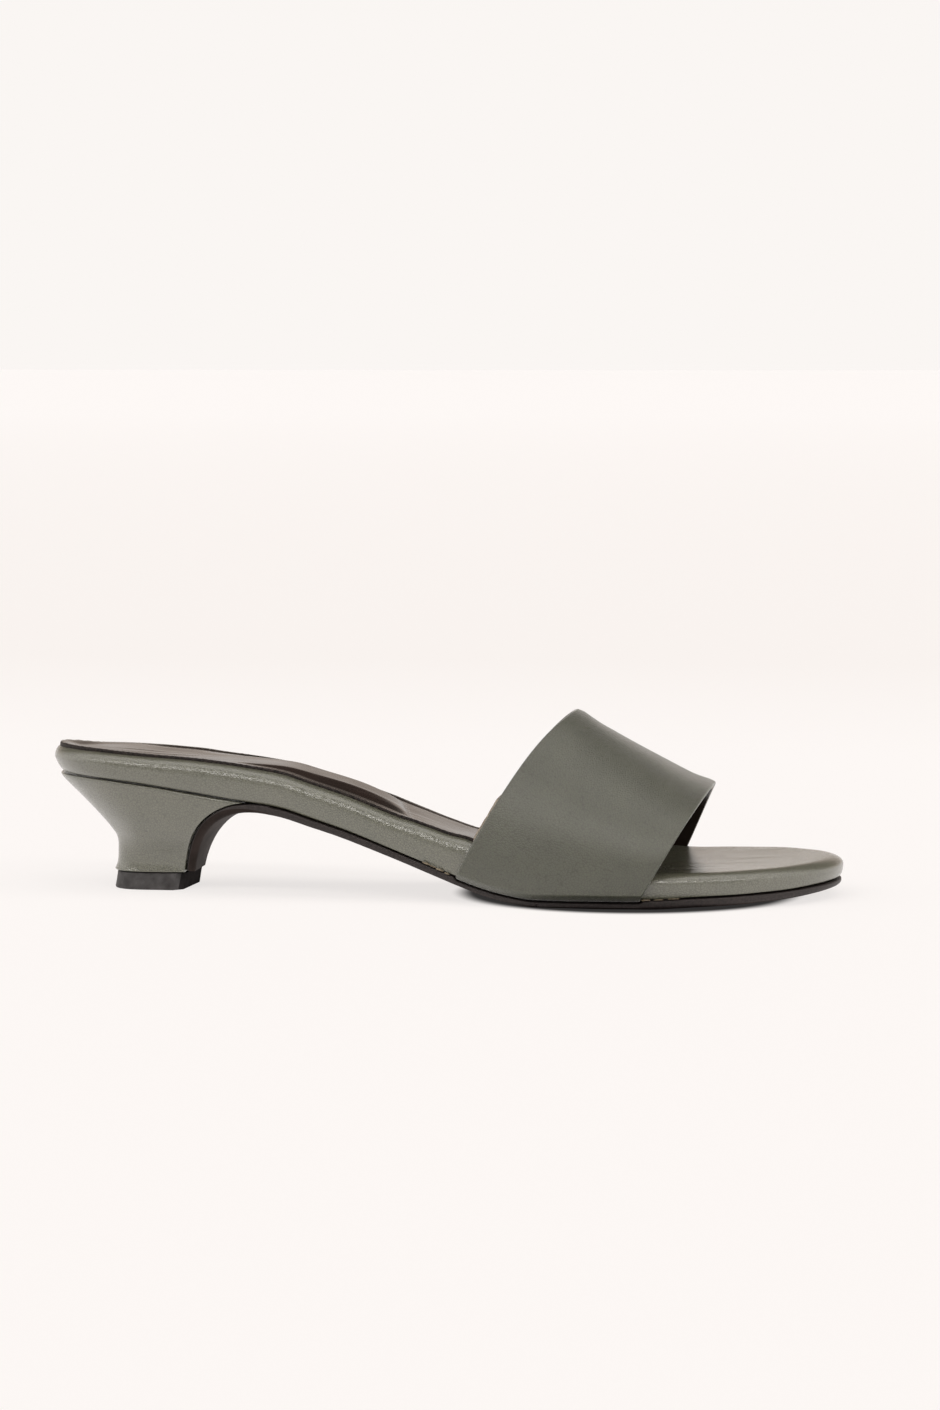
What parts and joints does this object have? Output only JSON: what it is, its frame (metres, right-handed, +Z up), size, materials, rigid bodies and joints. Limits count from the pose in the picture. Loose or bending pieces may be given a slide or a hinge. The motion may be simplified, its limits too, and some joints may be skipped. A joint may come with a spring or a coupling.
{
  "type": "kitten heel slide sandal",
  "caption": "Low-heeled slip-on sandal with one broad leather strap over a padded wrapped footbed, a thin sole and a small flared heel.",
  "frame": {"origin": "on the floor plane, under the middle of the shoe's bounding box", "axes": "+X towards the toe, +Y towards the inner (medial) side, +Z up; the shoe stands on the flat spot under the ball of the foot and on the heel's top piece"},
  "size_m": [0.246, 0.0842, 0.0572],
  "materials": {
    "olive_leather": "fine grained, low sheen",
    "black_lining": "smooth satin lining",
    "sole_sheet": "satin sheet with a raw edge",
    "top_piece_rubber": "satin moulded"
  },
  "bodies": {
    "root": {"outsole": "sole_sheet", "heel_block": "olive_leather", "top_piece": "top_piece_rubber", "footbed": "olive_leather", "sock_lining": "black_lining", "upper_strap": "olive_leather"}
  },
  "joints": []
}
